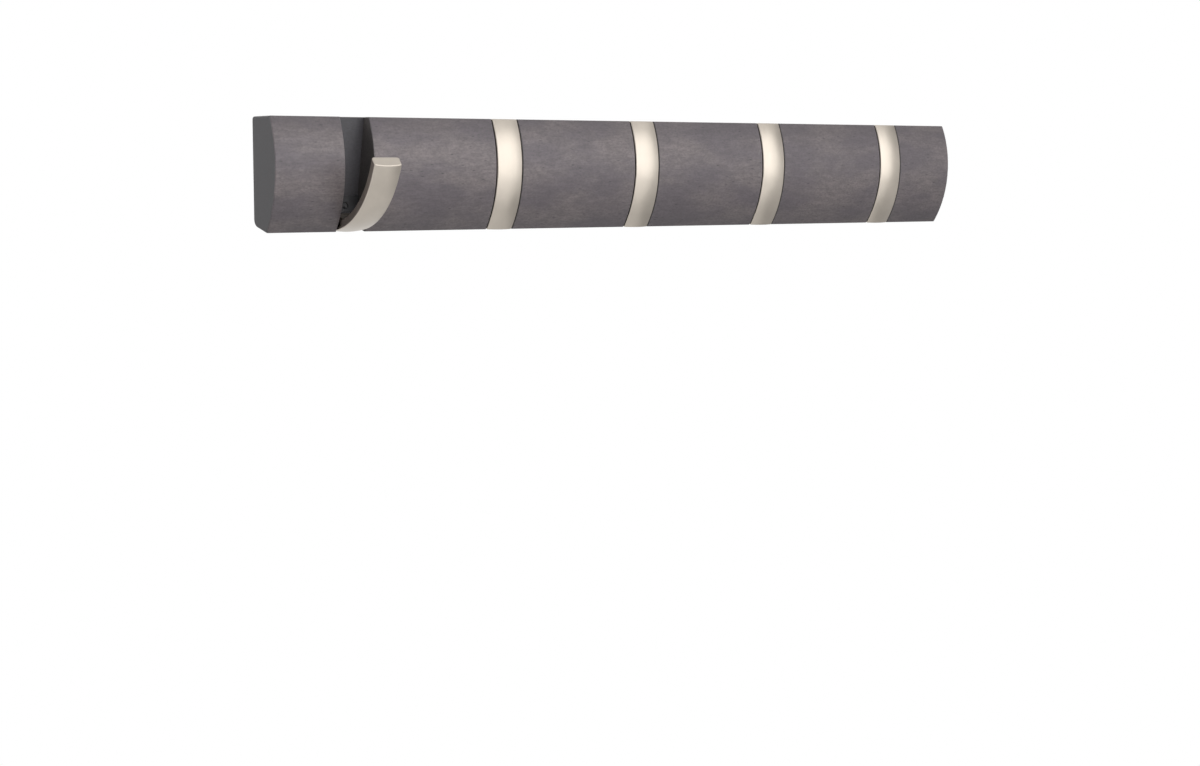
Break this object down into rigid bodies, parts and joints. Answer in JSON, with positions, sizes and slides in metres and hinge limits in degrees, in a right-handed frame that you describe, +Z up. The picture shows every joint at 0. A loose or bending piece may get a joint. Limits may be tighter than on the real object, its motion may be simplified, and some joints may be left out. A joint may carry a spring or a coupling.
{
  "type": "folding wall hook rail",
  "caption": "Domed wooden wall rail with metal hooks that swing out of slots to hang coats and fold back flush.",
  "frame": {"origin": "middle of the rail's back face, on the plane of the wall", "axes": "+X along the rail, to the right seen from the room; +Y into the wall; +Z up"},
  "size_m": [0.514, 0.0686, 0.0677],
  "materials": {
    "stained_wood": "grey stain, satin lacquer",
    "satin_nickel": "satin nickel plate",
    "black_steel": "black coat, matt",
    "bright_steel": "zinc plated",
    "nylon": "moulded"
  },
  "bodies": {
    "rail": {"rail": "stained_wood", "hinge_bracket_1": "black_steel", "hinge_pin_1": "bright_steel", "friction_washers_1": "nylon", "hinge_bracket_2": "black_steel", "hinge_pin_2": "bright_steel", "friction_washers_2": "nylon", "hinge_bracket_3": "black_steel", "hinge_pin_3": "bright_steel", "friction_washers_3": "nylon", "hinge_bracket_4": "black_steel", "hinge_pin_4": "bright_steel", "friction_washers_4": "nylon", "hinge_bracket_5": "black_steel", "hinge_pin_5": "bright_steel", "friction_washers_5": "nylon", "bracket_screws": "black_steel"},
    "hook_1": {"hook_1": "satin_nickel"},
    "hook_2": {"hook_2": "satin_nickel"},
    "hook_3": {"hook_3": "satin_nickel"},
    "hook_4": {"hook_4": "satin_nickel"},
    "hook_5": {"hook_5": "satin_nickel"}
  },
  "joints": [
    {"name": "hook_1_hinge", "type": "hinge", "parent": "rail", "child": "hook_1", "pos_m": [-0.2032, -0.01592, -0.0275], "axis": [1, 0, 0], "range_deg": [-49, 0]},
    {"name": "hook_2_hinge", "type": "hinge", "parent": "rail", "child": "hook_2", "pos_m": [-0.1016, -0.01592, -0.0275], "axis": [1, 0, 0], "range_deg": [0, 49]},
    {"name": "hook_3_hinge", "type": "hinge", "parent": "rail", "child": "hook_3", "pos_m": [0, -0.01592, -0.0275], "axis": [1, 0, 0], "range_deg": [0, 49]},
    {"name": "hook_4_hinge", "type": "hinge", "parent": "rail", "child": "hook_4", "pos_m": [0.1016, -0.01592, -0.0275], "axis": [1, 0, 0], "range_deg": [0, 49]},
    {"name": "hook_5_hinge", "type": "hinge", "parent": "rail", "child": "hook_5", "pos_m": [0.2032, -0.01592, -0.0275], "axis": [1, 0, 0], "range_deg": [0, 49]}
  ]
}
